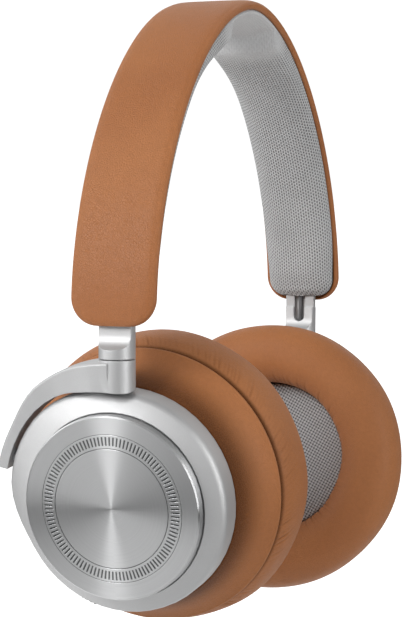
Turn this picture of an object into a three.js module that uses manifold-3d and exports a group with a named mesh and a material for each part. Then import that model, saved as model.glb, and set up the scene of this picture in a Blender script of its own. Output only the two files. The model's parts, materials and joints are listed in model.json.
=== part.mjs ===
// Over-ear wireless headphones, built as separate pieces.
// World frame: +X from the right ear to the left ear, -Y where the wearer faces, +Z up, millimetres.
// The origin is the head rest: the middle of the pad's underside at the crown of the band.
// One side is drawn for the right ear and mirrored for the left ear.
import * as THREE from "three";
import { mergeVertices } from "three/addons/utils/BufferGeometryUtils.js";
import Module from "manifold-3d";

const wasm = await Module();
wasm.setup();

const DEGREE = Math.PI / 180;
const GAP = 0.3; // between faces that touch

// ---- Headband: its edge line is a superellipse on straight leg ends ----
const SPAN = 81.6; // half width of the edge line
const RISE = 96.3; // from the widest height to the crown
const WIDEST_Z = 3.4;
const LEG_END_Z = -1.0;
const ROUNDNESS = 1.8; // exponent of the superellipse
const COVER_HALF = 13.9;
const COVER_TOP = 1.5; // height of the crowned outer face over the edge line
const COVER_INNER = -0.8;
const COVER_CORNER = 8.5;
const RIM_WIDTH = 1.6;
const PAD_HALF = 12.0;
const PAD_BACK = -1.1;
const PAD_DEPTH = -9.2;
const PAD_END_DEPTH = -7.2;
const RECESS_DEPTH = -5.0; // thin part of the pad at the crown
const HEAD_REST_Z = WIDEST_Z + RISE + RECESS_DEPTH;
const RECESS_HALF = 19;
const RECESS_STEP = 5;
const SHOULDER_EXTRA = 1.0; // depth added beside the thin part
const SPRING_HALF = 6.2;
const SPRING_BACK = -1.2;
const SPRING_THICK = 0.9;

// ---- Sliders: each tongue is an arc that slides along the curve of its leg ----
const ARC_RADIUS = 110;
const ARC_Z = -3; // height at which the arc is vertical
const SLIDER_X = -78.85;
const ARC_CENTRE_X = SLIDER_X + ARC_RADIUS;
const TONGUE_HALF = 5.3;
const TONGUE_THICK = 2.1;
const TONGUE_TOP = 36; // along the arc from ARC_Z
const GUIDE_FROM = 10.4;
const GUIDE_TO = 39;
const GUIDE_HALF = 8;
const GUIDE_THICK = 4;
const FOOT_RADIUS = 5.5;
const FOOT_TOP_Z = 0.6;
const PLATE_OUTER = 1.6; // flat scooped face, outward of the arc
const PLATE_INNER = 2.0; // inner face, inward of the arc
const SCOOP_RADIUS = 4.5;
const SCOOP_Z = -3.5;
const SLOT_HALF = 2.1;
const SLOT_BOTTOM_Z = -4.6;
const SLOT_TOP_Z = 23;
const SWIVEL_Z = -10.9; // split line between slider and yoke

// ---- Rest pose of each side ----
// Slider out by millimetres, yoke swivelled and cup tilted in at the top by degrees.
const RIGHT = { name: "right", mirror: 1, extended: 0, swivel: 1.06, tilt: 0 };
const LEFT = { name: "left", mirror: -1, extended: 4.2, swivel: -6.78, tilt: 1.35 };
const CUP_TILT = 6.88; // of the cup's axis, before the tilt joint moves it
const CUP_CENTRE = [40.2, 0.73, -50.0]; // from the swivel axis, at the cushion's widest plane

// ---- Ear cup: depths run outward along the cup's axis from the cushion's widest plane ----
const DISC_FACE = 43.5;
const DISC_RADIUS = 28.15;
const SHELL_FRONT = 40.2; // where the sloping ring meets the disc
const SHELL_RADIUS = 34;
const SHELL_BACK = 29;
const HINGE_SWELL = 3; // extra radius of the shell over its hinge
const TILT_AXIS = { up: 12, depth: 32.4 };
const ARM_CLEAR = 35.2; // radius left free round the shell
const ARM_CLEAR_FRONT = 34.6;
const ARM_INNER = 33.5;
const ARM_OUTER_TOP = 43.5;
const ARM_OUTER_END = 41.5;
const ARM_BACK = 29;
const ARM_FRONT = 37;
const ARM_FRONT_ROOT = 41.4;
const ARM_END_ANGLE = 77;
const PIN_RADIUS = 2.1;
const BORE_RADIUS = 2.2;
const SWIVEL_PIN_RADIUS = 3.0;
const SWIVEL_BORE_RADIUS = 3.1;
const SWIVEL_LENGTH = 5.3; // pin below the split line
const LEAD_HOLE = 1.2;
const LEAD_RADIUS = 0.75;

// ---- Controls: angles run from straight up towards the back ----
const CONTROL_DEPTH = 33.2;
const MICROPHONE_ANGLE = 141;
const PORT_ANGLE = 180;
const JACK_ANGLE = 204;
const SWITCH_ANGLE = 157;
const NOISE_ANGLE = 176;
const VOICE_ANGLE = 158;
const KEY_FOOT = 32.6; // inner end of a push button
const KEY_HEAD = 34.6;
const KNOB_HEAD = 35.0;
const PORT_INSIDE = 8.3;

// ---- Screws that hold the baffle plate to the housing ----
const SCREW_ANGLES = [50, 230];
const SCREW_CIRCLE = 30;

// ---- Materials ----
function material(color, roughness, metalness) {
  return new THREE.MeshStandardMaterial({ color, roughness, metalness });
}
const LEATHER = material(0x9a5a32, 0.55, 0);
const KNIT = material(0xb4b5b6, 0.9, 0);
const ALUMINIUM = material(0xc6c8ca, 0.35, 0.95);
const SPUN = material(0xb9bbbd, 0.25, 1);
const STEEL = material(0x8d9196, 0.3, 1);
const DARK_PLASTIC = material(0x26282b, 0.6, 0);
const GREY_PLASTIC = material(0x8c8f93, 0.5, 0);
const CLOTH = material(0x8f9296, 0.95, 0);
const BOARD_GREEN = material(0x1d5a3c, 0.5, 0.1);
const CELL_WRAP = material(0x3d4f73, 0.5, 0.1);
const BRASS = material(0xb08d4a, 0.35, 0.9);
const CABLE = material(0x6f7276, 0.6, 0);

// ---- Solid helpers ----
function reversed(indices) {
  const turned = indices.slice();
  for (let i = 0; i < turned.length; i += 3) {
    turned[i + 1] = indices[i + 2];
    turned[i + 2] = indices[i + 1];
  }
  return turned;
}

function solid(geometry) {
  const bare = geometry.index ? geometry.toNonIndexed() : geometry.clone();
  bare.deleteAttribute("normal");
  bare.deleteAttribute("uv");
  const merged = mergeVertices(bare, 1e-4);
  const vertProperties = merged.attributes.position.array;
  const triVerts = new Uint32Array(merged.index.array);
  const made = new wasm.Manifold(new wasm.Mesh({ numProp: 3, vertProperties, triVerts }));
  if (made.volume() > 0) return made;
  const turned = reversed(triVerts);
  return new wasm.Manifold(new wasm.Mesh({ numProp: 3, vertProperties, triVerts: turned }));
}

function geometryOf(body) {
  const mesh = body.getMesh();
  const geometry = new THREE.BufferGeometry();
  const positions = new Float32Array(mesh.numVert * 3);
  for (let i = 0; i < mesh.numVert; i++) {
    const start = i * mesh.numProp;
    positions.set(mesh.vertProperties.subarray(start, start + 3), i * 3);
  }
  geometry.setAttribute("position", new THREE.BufferAttribute(positions, 3));
  geometry.setIndex(new THREE.BufferAttribute(new Uint32Array(mesh.triVerts), 1));
  const flat = geometry.toNonIndexed();
  flat.computeVertexNormals();
  return flat;
}

function moved(geometry, matrix) {
  return geometry.clone().applyMatrix4(matrix);
}

// Turns a profile of [radius, depth] points about the local Z axis.
function turned(profile, segments) {
  const points = profile.map(([radius, depth]) => new THREE.Vector2(radius, depth));
  return new THREE.LatheGeometry(points, segments).rotateX(Math.PI / 2);
}

function rod(radius, from, to, segments = 16, bore = 0) {
  if (bore === 0) return turned([[0, from], [radius, from], [radius, to], [0, to]], segments);
  return turned([[bore, from], [radius, from], [radius, to], [bore, to], [bore, from]], segments);
}

function block(width, height, depth, x, y, z) {
  return new THREE.BoxGeometry(width, height, depth).translate(x, y, z);
}

// Skins a row of closed rings that share one outline, and closes both ends.
function lofted(rings, outline) {
  const count = rings[0].length;
  const positions = rings.flat().flatMap((point) => point.toArray());
  const indices = [];
  for (let ring = 0; ring + 1 < rings.length; ring++) {
    for (let i = 0; i < count; i++) {
      const a = ring * count + i;
      const b = ring * count + ((i + 1) % count);
      indices.push(a, b, a + count, b, b + count, a + count);
    }
  }
  const flat = outline.map(([x, y]) => new THREE.Vector2(x, y));
  const last = (rings.length - 1) * count;
  for (const [a, b, c] of THREE.ShapeUtils.triangulateShape(flat, [])) {
    indices.push(a, c, b);
    indices.push(last + a, last + b, last + c);
  }
  const geometry = new THREE.BufferGeometry();
  geometry.setAttribute("position", new THREE.Float32BufferAttribute(positions, 3));
  geometry.setIndex(indices);
  return geometry;
}

function smoothStep(value, from, to) {
  return THREE.MathUtils.smoothstep(value, from, to);
}

function range(from, to, steps) {
  return Array.from({ length: steps + 1 }, (_, i) => from + ((to - from) * i) / steps);
}

// ---- The arch of the band ----
function archPoint(turn) {
  const across = Math.sin(turn);
  const x = SPAN * Math.sign(across) * Math.abs(across) ** (2 / ROUNDNESS);
  const z = WIDEST_Z + RISE * Math.max(0, Math.cos(turn)) ** (2 / ROUNDNESS);
  return new THREE.Vector3(x, 0, z);
}

function archCurve() {
  const quarter = Math.PI / 2;
  const points = range(-quarter, quarter, 36).map(archPoint);
  points.unshift(new THREE.Vector3(-SPAN, 0, LEG_END_Z));
  points.push(new THREE.Vector3(SPAN, 0, LEG_END_Z));
  return new THREE.CatmullRomCurve3(points, false, "centripetal");
}
const ARCH = archCurve();
ARCH.arcLengthDivisions = 800;
const ARCH_LENGTH = ARCH.getLength();

// A point at a distance along the arch, across it, and out from its edge line.
function onArch(along, across, out) {
  const share = THREE.MathUtils.clamp(along / ARCH_LENGTH, 0, 1);
  const point = ARCH.getPointAt(share);
  const tangent = ARCH.getTangentAt(share);
  const outward = new THREE.Vector3(-tangent.z, 0, tangent.x);
  return point.addScaledVector(outward, out).add(new THREE.Vector3(0, across, 0));
}

function fromEnd(along) {
  return Math.min(along, ARCH_LENGTH - along);
}

function cornered(distance, half, corner) {
  if (distance >= corner) return half;
  const short = corner - Math.max(0, distance);
  return half - corner + Math.sqrt(corner * corner - short * short);
}

function archStations(start, steps) {
  const near = [0, 0.4, 1.2, 2.6, 4.6, 7.5].map((d) => start + d);
  const middle = range(start + 10.5, ARCH_LENGTH - start - 10.5, steps);
  const far = near.map((d) => ARCH_LENGTH - d).reverse();
  return [...near, ...middle, ...far];
}

function alongArch(stations, section) {
  const rings = stations.map((along) =>
    section(along).map(([across, out]) => onArch(along, across, out)),
  );
  return lofted(rings, section(stations[Math.floor(stations.length / 2)]));
}

function coverSection(along) {
  const distance = fromEnd(along);
  const half = cornered(distance, COVER_HALF, COVER_CORNER);
  const full = 0.45 + 0.55 * Math.sqrt(smoothStep(distance, -0.2, 2));
  const top = COVER_TOP * full;
  const edge = 0.7 * full;
  const rim = COVER_INNER - 0.9 * smoothStep(distance, 0, 0.5) - 0.01;
  return [
    [half, -0.3], [half - 0.35, edge * 0.75], [half - 1.3, top * 0.78], [half * 0.5, top * 0.96],
    [0, top], [-half * 0.5, top * 0.96], [-half + 1.3, top * 0.78], [-half + 0.35, edge * 0.75],
    [-half, -0.3], [-half + 0.35, -1.2], [-half + 0.9, rim], [-half + RIM_WIDTH, rim],
    [-half + RIM_WIDTH, COVER_INNER], [half - RIM_WIDTH, COVER_INNER], [half - RIM_WIDTH, rim],
    [half - 0.9, rim], [half - 0.35, -1.2],
  ];
}

function padDepth(along) {
  const crown = Math.abs(along - ARCH_LENGTH / 2);
  const ends = PAD_END_DEPTH + (PAD_DEPTH - PAD_END_DEPTH) * smoothStep(fromEnd(along), 1, 12);
  const raised = smoothStep(crown, RECESS_HALF, RECESS_HALF + RECESS_STEP);
  const deep = ends - SHOULDER_EXTRA * shoulder(along);
  return RECESS_DEPTH + (deep - RECESS_DEPTH) * raised;
}

// 1 on the two full shoulders beside the thin part, 0 on the legs and in the thin part.
function shoulder(along) {
  const crown = Math.abs(along - ARCH_LENGTH / 2);
  return smoothStep(crown, RECESS_HALF, RECESS_HALF + RECESS_STEP) * (1 - smoothStep(crown, 26, 62));
}

function padSection(along) {
  const half = cornered(fromEnd(along) - RIM_WIDTH, PAD_HALF, 6);
  const depth = padDepth(along);
  const side = PAD_BACK - 1.2;
  const boxy = shoulder(along);
  const dome = (share, extra) => side + (depth - side) * (share + extra * boxy);
  const low = dome(0.32, 0.55);
  const middle = dome(0.7, 0.22);
  const high = dome(0.94, 0.05);
  return [
    [half, PAD_BACK], [-half, PAD_BACK], [-half, side], [-half * 0.95, low],
    [-half * 0.78, middle], [-half * 0.42, high], [0, depth], [half * 0.42, high],
    [half * 0.78, middle], [half * 0.95, low], [half, side],
  ];
}

function rectangle(half, from, to) {
  return [[half, to], [-half, to], [-half, from], [half, from]];
}

// ---- The arc of a slider, drawn on the right leg ----
function onArc(along, across, out) {
  const angle = along / ARC_RADIUS;
  const radius = ARC_RADIUS + out;
  const x = ARC_CENTRE_X - radius * Math.cos(angle);
  return new THREE.Vector3(x, across, ARC_Z + radius * Math.sin(angle));
}

function alongArc(from, to, steps, section) {
  const rings = range(from, to, steps).map((along) =>
    section.map(([across, out]) => onArc(along, across, out)),
  );
  return lofted(rings, section);
}

function mirrored(geometry) {
  return geometry.clone().scale(-1, 1, 1);
}

// ---- Headband pieces ----
function headbandCover() {
  return alongArch(archStations(0, 30), coverSection);
}

function headbandPad() {
  const outside = solid(alongArch(archStations(RIM_WIDTH, 58), padSection));
  const springHalf = SPRING_HALF + GAP;
  const springBottom = SPRING_BACK - SPRING_THICK - GAP;
  const spring = range(30, ARCH_LENGTH - 30, 24);
  const groove = alongArch(spring, () => rectangle(springHalf, springBottom, 1));
  const half = GUIDE_THICK / 2 + GAP;
  const pocket = alongArc(3, GUIDE_TO + GAP, 8, rectangle(GUIDE_HALF + GAP, -half, half + 3));
  const mouth = alongArc(-2, 12, 3, rectangle(TONGUE_HALF + 0.6, -PLATE_INNER - 0.6, 5));
  return [groove, pocket, mouth, mirrored(pocket), mirrored(mouth)].reduce(
    (left, cutter) => left.subtract(solid(cutter)),
    outside,
  );
}

function headbandSpring() {
  const back = SPRING_BACK - SPRING_THICK;
  const stations = range(43.6, ARCH_LENGTH - 43.6, 24);
  return alongArch(stations, () => rectangle(SPRING_HALF, back, SPRING_BACK));
}

function sliderGuide() {
  const half = GUIDE_THICK / 2;
  const inside = TONGUE_THICK / 2 + GAP;
  const sleeve = solid(alongArc(GUIDE_FROM, GUIDE_TO, 6, rectangle(GUIDE_HALF, -half, half)));
  const channel = rectangle(TONGUE_HALF + GAP, -inside, inside);
  return sleeve.subtract(solid(alongArc(GUIDE_FROM - 2, GUIDE_TO + 2, 7, channel)));
}

// ---- Slider pieces, drawn about the swivel axis x = SLIDER_X ----
function onSwivel(geometry) {
  return geometry.translate(SLIDER_X, 0, 0);
}

// Fills the side of the foot that is cut away, down to a rounded scoop.
function scoopCutter(face, direction) {
  const shape = new THREE.Shape();
  const outer = face + direction * SCOOP_RADIUS;
  shape.moveTo(face, FOOT_TOP_Z + 1);
  shape.lineTo(face, SCOOP_Z);
  for (const turn of range(15, 90, 5)) {
    const across = face + direction * SCOOP_RADIUS * (1 - Math.cos(turn * DEGREE));
    shape.lineTo(across, SCOOP_Z - SCOOP_RADIUS * Math.sin(turn * DEGREE));
  }
  shape.lineTo(outer + direction * 3, SCOOP_Z - SCOOP_RADIUS);
  shape.lineTo(outer + direction * 3, FOOT_TOP_Z + 1);
  const depth = 4 * FOOT_RADIUS;
  const cutter = new THREE.ExtrudeGeometry(shape, { depth, bevelEnabled: false });
  return solid(cutter.translate(0, 0, -depth / 2).rotateX(Math.PI / 2));
}

function slotCutter() {
  const shape = new THREE.Shape();
  shape.absarc(0, SLOT_TOP_Z - SLOT_HALF, SLOT_HALF, 0, Math.PI);
  shape.absarc(0, SLOT_BOTTOM_Z + SLOT_HALF, SLOT_HALF, Math.PI, 2 * Math.PI);
  const options = { depth: 12, bevelEnabled: false, curveSegments: 5 };
  const cutter = new THREE.ExtrudeGeometry(shape, options);
  cutter.rotateX(Math.PI / 2).rotateZ(Math.PI / 2);
  return solid(cutter.translate(SLIDER_X - 0.45, 0, 0));
}

function sliderArm() {
  const half = TONGUE_THICK / 2;
  const foot = solid(onSwivel(rod(FOOT_RADIUS, SWIVEL_Z + GAP / 2, FOOT_TOP_Z, 32)));
  const tongue = solid(alongArc(3, TONGUE_TOP, 6, rectangle(TONGUE_HALF, -half, half)));
  const cable = solid(onSwivel(rod(1.3, SWIVEL_Z - 1, SLOT_BOTTOM_Z + 1, 10)));
  const pin = solid(onSwivel(rod(SWIVEL_BORE_RADIUS, SWIVEL_Z - 1, SWIVEL_Z + 3.3, 16)));
  return foot
    .subtract(scoopCutter(SLIDER_X - PLATE_OUTER, -1))
    .subtract(scoopCutter(SLIDER_X + PLATE_INNER, 1))
    .add(tongue)
    .subtract(slotCutter())
    .subtract(cable)
    .subtract(pin);
}

// Runs down the slot of the tongue and through the hollow swivel pin.
function signalLead() {
  const inner = 0.25;
  const low = SWIVEL_Z - SWIVEL_LENGTH - 0.1;
  const straight = [low, SWIVEL_Z, SLOT_BOTTOM_Z].map(
    (z) => new THREE.Vector3(SLIDER_X + inner, 0, z),
  );
  const curved = [10, SLOT_TOP_Z - ARC_Z - 1.2].map((along) => onArc(along, 0, -inner));
  const extrudePath = new THREE.CatmullRomCurve3([...straight, ...curved]);
  const section = new THREE.Shape();
  section.absarc(0, 0, LEAD_RADIUS, 0, 2 * Math.PI);
  const options = { steps: 16, curveSegments: 4, extrudePath, bevelEnabled: false };
  return new THREE.ExtrudeGeometry(section, options);
}

function swivelPin() {
  const bottom = SWIVEL_Z - SWIVEL_LENGTH;
  return onSwivel(rod(SWIVEL_PIN_RADIUS, bottom, SWIVEL_Z + 3, 16, LEAD_HOLE));
}

function swivelClip() {
  const bottom = SWIVEL_Z - SWIVEL_LENGTH + 0.2;
  return onSwivel(rod(4.1, bottom, bottom + 0.8, 16, SWIVEL_PIN_RADIUS + 0.08));
}

// ---- Frames of one side ----
function sliderFrame(side) {
  const angle = -side.extended / ARC_RADIUS;
  const centre = new THREE.Matrix4().makeTranslation(ARC_CENTRE_X, 0, ARC_Z);
  const back = new THREE.Matrix4().makeTranslation(-ARC_CENTRE_X, 0, -ARC_Z);
  return centre.multiply(new THREE.Matrix4().makeRotationY(angle)).multiply(back);
}

function swivelTurn(degrees) {
  const to = new THREE.Matrix4().makeTranslation(SLIDER_X, 0, 0);
  const back = new THREE.Matrix4().makeTranslation(-SLIDER_X, 0, 0);
  return to.multiply(new THREE.Matrix4().makeRotationZ(degrees * DEGREE)).multiply(back);
}

// The cup's own axes: +X to the front, +Y up, +Z outward along the depth.
function cupPlace() {
  const front = new THREE.Vector3(0, -1, 0);
  const up = new THREE.Vector3(0, 0, 1);
  const outward = new THREE.Vector3(-1, 0, 0);
  const basis = new THREE.Matrix4().makeBasis(front, up, outward);
  const [x, y, z] = CUP_CENTRE;
  const place = new THREE.Matrix4().makeTranslation(SLIDER_X + x, y, z);
  return place.multiply(new THREE.Matrix4().makeRotationY(-CUP_TILT * DEGREE)).multiply(basis);
}
const CUP_PLACE = cupPlace();

function tiltTurn(degrees) {
  const { up, depth } = TILT_AXIS;
  const to = new THREE.Matrix4().makeTranslation(0, up, depth);
  const back = new THREE.Matrix4().makeTranslation(0, -up, -depth);
  return to.multiply(new THREE.Matrix4().makeRotationX(-degrees * DEGREE)).multiply(back);
}

// ---- Yoke ----
function armSection(degrees) {
  const outer = ARM_OUTER_TOP + (ARM_OUTER_END - ARM_OUTER_TOP) * smoothStep(degrees, 36, 60);
  const root = 1 - smoothStep(degrees, 6, 34);
  const front = ARM_FRONT + (ARM_FRONT_ROOT - ARM_FRONT) * root;
  return [
    [ARM_INNER, ARM_BACK], [outer - 1.6, ARM_BACK], [outer - 0.4, ARM_BACK + 0.9], [outer, ARM_BACK + 2.6],
    [outer, front - 0.5], [outer - 0.5, front], [ARM_INNER, front],
  ];
}

function yokeArm() {
  const angles = range(0, ARM_END_ANGLE, 18);
  const rings = angles.map((degrees) =>
    armSection(degrees).map(([radius, depth]) => {
      const turn = degrees * DEGREE;
      return new THREE.Vector3(-radius * Math.sin(turn), radius * Math.cos(turn), depth);
    }),
  );
  const arm = solid(moved(lofted(rings, armSection(40)), CUP_PLACE));
  const top = SWIVEL_Z - GAP / 2;
  const recessTop = SWIVEL_Z - SWIVEL_LENGTH + 1.4;
  const barrel = solid(onSwivel(rod(FOOT_RADIUS, -26, top, 32)));
  const aroundCup = turned([
    [0, 10], [ARM_CLEAR, 10], [ARM_CLEAR, 36.5], [ARM_CLEAR_FRONT, 40], [ARM_CLEAR_FRONT, 60], [0, 60],
  ], 56);
  const cutters = [
    block(60, 60, 30, SLIDER_X, 0, top + 15),
    onSwivel(rod(SWIVEL_BORE_RADIUS, -30, top + 1, 16)),
    onSwivel(rod(4.5, -30, recessTop, 16)),
    moved(tiltRod(BORE_RADIUS, -39.9, -20), CUP_PLACE),
  ];
  const blank = arm.add(barrel).subtract(swollen(solid(aroundCup)).transform(CUP_PLACE.elements));
  return cutters.reduce((left, cutter) => left.subtract(solid(cutter)), blank);
}

// A rod on the tilt axis, between two places along the cup's front axis.
function tiltRod(radius, from, to, bore = 0) {
  const lying = rod(radius, from, to, 16, bore).rotateY(Math.PI / 2);
  return lying.translate(0, TILT_AXIS.up, TILT_AXIS.depth);
}

function tiltPin() {
  return tiltRod(PIN_RADIUS, -39.5, -23.4);
}

function tiltClip() {
  return tiltRod(3.6, -24.7, -23.9, PIN_RADIUS + 0.1);
}

// Carries the tilt pin inside the shell's wall.
function hingeBlock() {
  const body = block(9, 8, 7, -29.5, TILT_AXIS.up, TILT_AXIS.depth);
  return solid(body)
    .intersect(solid(rod(33, 20, 45, 48)))
    .subtract(solid(tiltRod(BORE_RADIUS, -35, -20)));
}

function hingeWindow() {
  return solid(block(16, 9, 8, -29, TILT_AXIS.up, TILT_AXIS.depth));
}

// ---- Ear cup pieces, in the cup's own axes ----
const SHELL_INSIDE = SHELL_RADIUS - 1.6;
const SHELL_PROFILE = [
  [SHELL_INSIDE, SHELL_BACK], [SHELL_RADIUS, SHELL_BACK], [SHELL_RADIUS, 35.4], [33.8, 36.4],
  [33.3, 37.2], [32.6, 37.8], [28.5, SHELL_FRONT], [28.5, 39], [0, 39], [0, 37.6], [30.4, 37.6],
  [31.9, 36.2], [SHELL_INSIDE, 34.6], [SHELL_INSIDE, SHELL_BACK],
];

// Widens a round solid over the hinge, at the back of the cup.
function swollen(body) {
  return body.warp((point) => {
    const [front, up] = point;
    const angle = Math.atan2(-front, up) / DEGREE;
    const swell = HINGE_SWELL * smoothStep(angle, -5, 50) * (1 - smoothStep(angle, 78, 118));
    const radius = Math.hypot(front, up);
    const scale = 1 + (swell * smoothStep(radius, 28.6, 33)) / Math.max(radius, 1);
    point[0] *= scale;
    point[1] *= scale;
  });
}

// A slot cut through the rounded rim of the shell, low at the back.
function microphoneSlot() {
  const slot = block(3.4, 6, 1.1, 0, 34.5, 36);
  return solid(slot.rotateZ(MICROPHONE_ANGLE * DEGREE));
}

function radialCut(width, depth, angle) {
  const cutter = block(width, 12, depth, 0, 35, CONTROL_DEPTH);
  return solid(cutter.rotateZ(angle * DEGREE));
}

function outerShell(side) {
  const tilt = solid(tiltRod(BORE_RADIUS, -40, -20));
  const blank = swollen(solid(turned(SHELL_PROFILE, 52))).subtract(tilt).subtract(microphoneSlot());
  const cuts = {
    left: [radialCut(8.6, 3.2, NOISE_ANGLE), radialCut(5.2, 3.2, VOICE_ANGLE)],
    right: [radialCut(9.4, 3.6, PORT_ANGLE), jackBore(), radialCut(11, 2.6, SWITCH_ANGLE)],
  };
  return cuts[side.name].reduce((shell, cut) => shell.subtract(cut), blank);
}

function jackBore() {
  const bore = rod(3.0, 26, 42, 14).rotateX(-Math.PI / 2).translate(0, 0, CONTROL_DEPTH);
  return solid(bore.rotateZ(JACK_ANGLE * DEGREE));
}

function trimDisc() {
  return turned([
    [0, 39.5], [DISC_RADIUS - 0.4, 39.5], [DISC_RADIUS, 39.9], [DISC_RADIUS, DISC_FACE - 0.4],
    [DISC_RADIUS - 0.4, DISC_FACE], [0, DISC_FACE],
  ], 52);
}

const HOUSING_PROFILE = [
  [33.6, 9.9], [35.2, 9.9], [35.0, 14], [33.2, 22], [32.2, 27.5], [32.2, 31.4], [30.8, 31.4],
  [30.8, 26.8], [31.6, 21.5], [33.2, 14], [33.6, 9.9],
];

function housing(side) {
  const bosses = SCREW_ANGLES.map((angle) => solid(atScrew(rod(3.2, 9.9, 22, 12), angle, 31.2)));
  const holes = SCREW_ANGLES.map((angle) => solid(atScrew(rod(1.45, 8, 18.5, 10), angle)));
  const outside = solid(turned([[0, 0], [35.2, 0], ...HOUSING_PROFILE.slice(2, 7), [0, 31.4]], 20));
  const wall = solid(turned(HOUSING_PROFILE, 20));
  const joined = bosses.reduce((left, boss) => left.add(boss.intersect(outside)), wall);
  const windows = side === RIGHT ? [hingeWindow(), jackBore()] : [hingeWindow()];
  return [...holes, ...windows].reduce((left, hole) => left.subtract(hole), joined);
}

// Sets a shape that was drawn on the cup's axis where a screw is.
function atScrew(geometry, angle, circle = SCREW_CIRCLE) {
  return geometry.translate(0, circle, 0).rotateZ(angle * DEGREE);
}

function withScrewHoles(plate, radius) {
  const holes = SCREW_ANGLES.map((angle) => solid(atScrew(rod(radius, 3, 12, 10), angle)));
  return holes.reduce((left, hole) => left.subtract(hole), plate);
}

function baffle() {
  return withScrewHoles(solid(rod(35.2, 7.6, 9.6, 24, 18.2)), 1.6);
}

function screw(angle) {
  const profile = [[0, 5.9], [2.6, 5.9], [2.6, 7.3], [1.2, 7.3], [1.2, 17.5], [0, 17.5]];
  return atScrew(turned(profile, 10), angle);
}

const CUSHION_PROFILE = [
  [32.6, 28.6], [34.6, 28.6], [37.6, 24.6], [40.4, 19.4], [42.0, 14.4], [44.9, 9], [45.8, 0],
  [44.2, -5.6], [41.0, -8.6], [37.4, -9.8], [33.4, -9.8], [30.0, -8.6], [27.0, -6.2], [25.8, -3.4],
  [25.7, 3.5], [26.6, 4.7], [35.8, 4.7], [36.4, 12], [34.6, 22], [32.6, 28.6],
];

function cushionRing() {
  const profile = [[24.2, 5.0], [35.4, 5.0], [35.4, 5.6], [34.2, 7.3], [24.2, 7.3], [24.2, 5.0]];
  return withScrewHoles(solid(turned(profile, 24)), 3.0);
}

function speakerCloth() {
  return turned([[0, 3.0], [14, 3.2], [25.3, 3.9], [25.3, 4.7], [14, 4.0], [0, 3.8]], 28);
}

function driverFrame() {
  return turned([
    [16.9, 9.9], [21.4, 9.9], [21.4, 11.3], [18.6, 11.3], [12.4, 16.8], [9.6, 16.8], [9.6, 15.6],
    [11.8, 15.6], [16.9, 11.3], [16.9, 9.9],
  ], 24);
}

function driverMagnet() {
  return turned([[0, 13.4], [9.3, 13.4], [9.3, 20], [8.7, 20.6], [0, 20.6]], 20);
}

function driverDiaphragm() {
  return turned([
    [0, 10.1], [5, 10.5], [8, 11.6], [12, 10.6], [16.6, 10.4], [16.6, 10.8], [12, 11.0],
    [8, 12.0], [5, 10.9], [0, 10.5],
  ], 20);
}

function circuitBoard() {
  const plate = solid(rod(29.6, 36.1, 37.2, 28));
  const notch = block(14, 22, 6, -28, TILT_AXIS.up, 36.4);
  return plate.subtract(solid(notch));
}

function microphone() {
  const capsule = rod(1.8, 27.9, 29.7, 12).rotateX(-Math.PI / 2).translate(0, 0, 33.6);
  return capsule.rotateZ(MICROPHONE_ANGLE * DEGREE);
}

function battery() {
  const options = { depth: 5.4, bevelEnabled: false, curveSegments: 3 };
  return new THREE.ExtrudeGeometry(roundedRectangle(34, 22, 2), options).translate(0, -2, 23.4);
}

function roundedRectangle(width, height, corner) {
  const shape = new THREE.Shape();
  const x = width / 2 - corner;
  const y = height / 2 - corner;
  shape.absarc(x, y, corner, 0, Math.PI / 2);
  shape.absarc(-x, y, corner, Math.PI / 2, Math.PI);
  shape.absarc(-x, -y, corner, Math.PI, 1.5 * Math.PI);
  shape.absarc(x, -y, corner, 1.5 * Math.PI, 2 * Math.PI);
  return shape;
}

// ---- Controls and sockets ----
// A plate that lies in the shell's side wall, drawn at straight up and turned to its angle.
function wallKey(width, depth, low, high, angle) {
  const outline = roundedRectangle(width, depth, Math.min(depth, width) * 0.45);
  const options = { depth: high - low, bevelEnabled: false, curveSegments: 3 };
  const key = new THREE.ExtrudeGeometry(outline, options);
  key.rotateX(-Math.PI / 2).translate(0, low, CONTROL_DEPTH);
  return key.rotateZ(angle * DEGREE);
}

function pushButton(width, angle) {
  return wallKey(width, 2.6, KEY_FOOT, KEY_HEAD, angle);
}

function powerSwitch() {
  const knob = solid(wallKey(5.6, 2.0, KEY_FOOT, KNOB_HEAD, 0));
  const grips = range(-1.6, 1.6, 2).map((x) => solid(block(0.5, 1, 4, x, KNOB_HEAD, CONTROL_DEPTH)));
  const gripped = grips.reduce((left, grip) => left.subtract(grip), knob);
  return geometryOf(gripped).rotateZ(SWITCH_ANGLE * DEGREE);
}

function contactBlock(width, angle) {
  return block(width, 1.6, 2.6, 0, 31.1, 33.4).rotateZ(angle * DEGREE);
}

function usbSocket() {
  const outside = solid(wallKey(8.9, 3.1, 28, 33.5, 0));
  const inside = solid(wallKey(PORT_INSIDE, 2.5, 29, 40, 0));
  return geometryOf(outside.subtract(inside)).rotateZ(PORT_ANGLE * DEGREE);
}

function jackSocket() {
  const tube = turned([[0, 27.4], [2.7, 27.4], [2.7, 33.6], [1.8, 33.6], [1.8, 28.4], [0, 28.4]], 14);
  return tube.rotateX(-Math.PI / 2).translate(0, 0, CONTROL_DEPTH).rotateZ(JACK_ANGLE * DEGREE);
}

// ---- Assembly ----
const headphones = new THREE.Group();
headphones.position.z = -HEAD_REST_Z;

function piece(name, shape, look, frame = new THREE.Matrix4()) {
  const geometry = shape.isBufferGeometry ? geometryOf(solid(shape)) : geometryOf(shape);
  const mesh = new THREE.Mesh(geometry, look);
  mesh.name = name;
  mesh.applyMatrix4(frame);
  headphones.add(mesh);
}

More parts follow.
